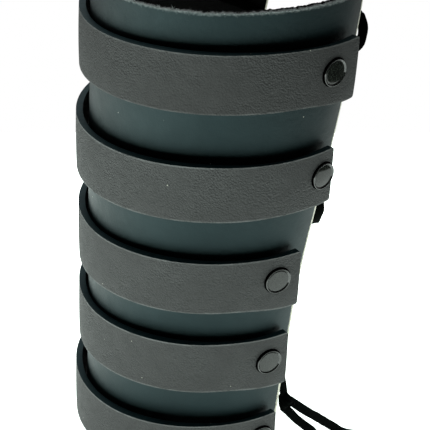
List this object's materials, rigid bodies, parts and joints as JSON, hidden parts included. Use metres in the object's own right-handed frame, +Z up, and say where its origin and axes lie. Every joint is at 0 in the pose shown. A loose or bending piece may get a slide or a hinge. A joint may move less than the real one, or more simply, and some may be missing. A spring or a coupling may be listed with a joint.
{
  "type": "laced leather forearm gauntlet",
  "caption": "Tapered leather forearm gauntlet: a rolled sleeve with raised straps riveted round it, open along one seam that a flat lace draws together and ties near the wrist.",
  "frame": {"origin": "middle of the sleeve's box on the plane of its wrist end, which it stands on", "axes": "+Z up along the forearm from wrist to elbow, +X out of the open seam, +Y to the back; the view of the picture looks along +Y and down"},
  "size_m": [0.1554, 0.1306, 0.237],
  "materials": {
    "shell_leather": "satin charcoal leather, raw cut edges, black inside",
    "strap_leather": "matte charcoal grained leather, black edges",
    "rivet_black": "gloss black",
    "lace_leather": "matte black"
  },
  "bodies": {
    "root": {"shell": "shell_leather", "strap_1": "strap_leather", "strap_2": "strap_leather", "strap_3": "strap_leather", "strap_4": "strap_leather", "strap_5": "strap_leather", "rivet_front_1": "rivet_black", "rivet_back_1": "rivet_black", "rivet_front_2": "rivet_black", "rivet_back_2": "rivet_black", "rivet_front_3": "rivet_black", "rivet_back_3": "rivet_black", "rivet_front_4": "rivet_black", "rivet_back_4": "rivet_black", "rivet_front_5": "rivet_black", "rivet_back_5": "rivet_black", "lacing": "lace_leather", "lace_knot": "lace_leather", "lace_end_upper": "lace_leather", "lace_end_lower": "lace_leather"}
  },
  "joints": []
}
